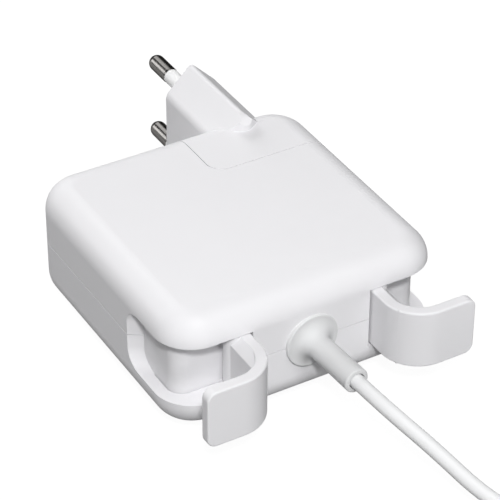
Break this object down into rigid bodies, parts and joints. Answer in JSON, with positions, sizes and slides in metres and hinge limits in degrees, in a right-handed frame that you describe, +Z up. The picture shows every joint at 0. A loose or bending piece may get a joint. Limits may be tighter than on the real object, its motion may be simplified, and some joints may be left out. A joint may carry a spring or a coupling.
{
  "type": "laptop power adapter",
  "caption": "Square laptop power adapter with a removable mains plug block, fold-out cable hooks and a flexible low-voltage cable with strain relief.",
  "frame": {"origin": "centre of the case's bottom face", "axes": "+Z up through the case, +Y from the cable side to the mains plug side, +X to the right when the cable side faces the viewer"},
  "size_m": [0.1098, 0.1814, 0.0353],
  "materials": {
    "case_plastic": "satin white polycarbonate",
    "hook_plastic": "satin white polycarbonate",
    "duckhead_plastic": "satin white polycarbonate",
    "steel": "bright drawn steel",
    "inlet_plastic": "matt light grey moulding",
    "nickel_pin": "nickel plate over brass",
    "sleeve_plastic": "semi-matt light grey sleeve",
    "contact_metal": "plain brass",
    "board": "green solder resist",
    "insulator_film": "translucent film",
    "ferrite": "dark ground ferrite",
    "black_moulding": "moulded epoxy",
    "winding_tape": "yellow polyester tape",
    "enamel_wire": "enamelled copper wire",
    "capacitor_can": "dark shrink sleeve",
    "film_capacitor": "moulded box",
    "disc_capacitor": "dipped coating",
    "aluminium_plate": "mill finish",
    "fuse_tube": "ceramic tube with metal caps",
    "lead_insulation": "insulated wire",
    "boot_rubber": "matt white elastomer",
    "cable_jacket": "semi-matt white elastomer",
    "tie_fabric": "white hook-and-loop strap"
  },
  "bodies": {
    "case": {"bottom_shell": "case_plastic", "top_shell": "case_plastic", "right_hinge_pin": "steel", "left_hinge_pin": "steel", "inlet_block": "inlet_plastic", "inlet_pins": "nickel_pin", "retention_stud": "steel", "strain_relief": "boot_rubber", "circuit_board": "board", "board_insulator": "insulator_film", "transformer_core": "ferrite", "transformer_bobbin": "black_moulding", "transformer_winding": "winding_tape", "input_capacitor": "capacitor_can", "output_capacitors": "capacitor_can", "filter_capacitor": "film_capacitor", "safety_capacitor": "disc_capacitor", "choke_core": "ferrite", "choke_winding": "enamel_wire", "bridge_rectifier": "black_moulding", "switching_transistor": "black_moulding", "primary_heat_spreader": "aluminium_plate", "output_rectifier": "black_moulding", "output_heat_spreader": "aluminium_plate", "fuse": "fuse_tube", "input_leads": "contact_metal", "output_leads": "lead_insulation", "cable_anchor": "black_moulding", "dc_cable": "cable_jacket", "cable_tail": "cable_jacket", "cable_coil": "cable_jacket", "cable_tie": "tie_fabric", "dc_plug_grip": "boot_rubber", "dc_plug_barrel": "nickel_pin", "dc_plug_insulator": "black_moulding", "dc_plug_contact": "contact_metal"},
    "left_hook": {"left_hook": "hook_plastic"},
    "right_hook": {"right_hook": "hook_plastic"},
    "duckhead": {"duckhead_shell": "duckhead_plastic", "duckhead_cover": "duckhead_plastic", "stud_rail": "steel", "mains_pin_lower": "nickel_pin", "mains_pin_upper": "nickel_pin", "pin_sleeve_lower": "sleeve_plastic", "pin_sleeve_upper": "sleeve_plastic", "socket_contacts": "contact_metal", "plug_links": "contact_metal"}
  },
  "joints": [
    {"name": "left_hook_hinge", "type": "hinge", "parent": "case", "child": "left_hook", "pos_m": [-0.01725, -0.03045, 0.01485], "axis": [0, 0, 1], "range_deg": [-90, 0]},
    {"name": "right_hook_hinge", "type": "hinge", "parent": "case", "child": "right_hook", "pos_m": [0.01725, -0.03045, 0.01485], "axis": [0, 0, 1], "range_deg": [0, 90]},
    {"name": "duckhead_slide", "type": "slide", "parent": "case", "child": "duckhead", "axis": [0, 1, 0], "range_m": [0, 0.03]}
  ]
}
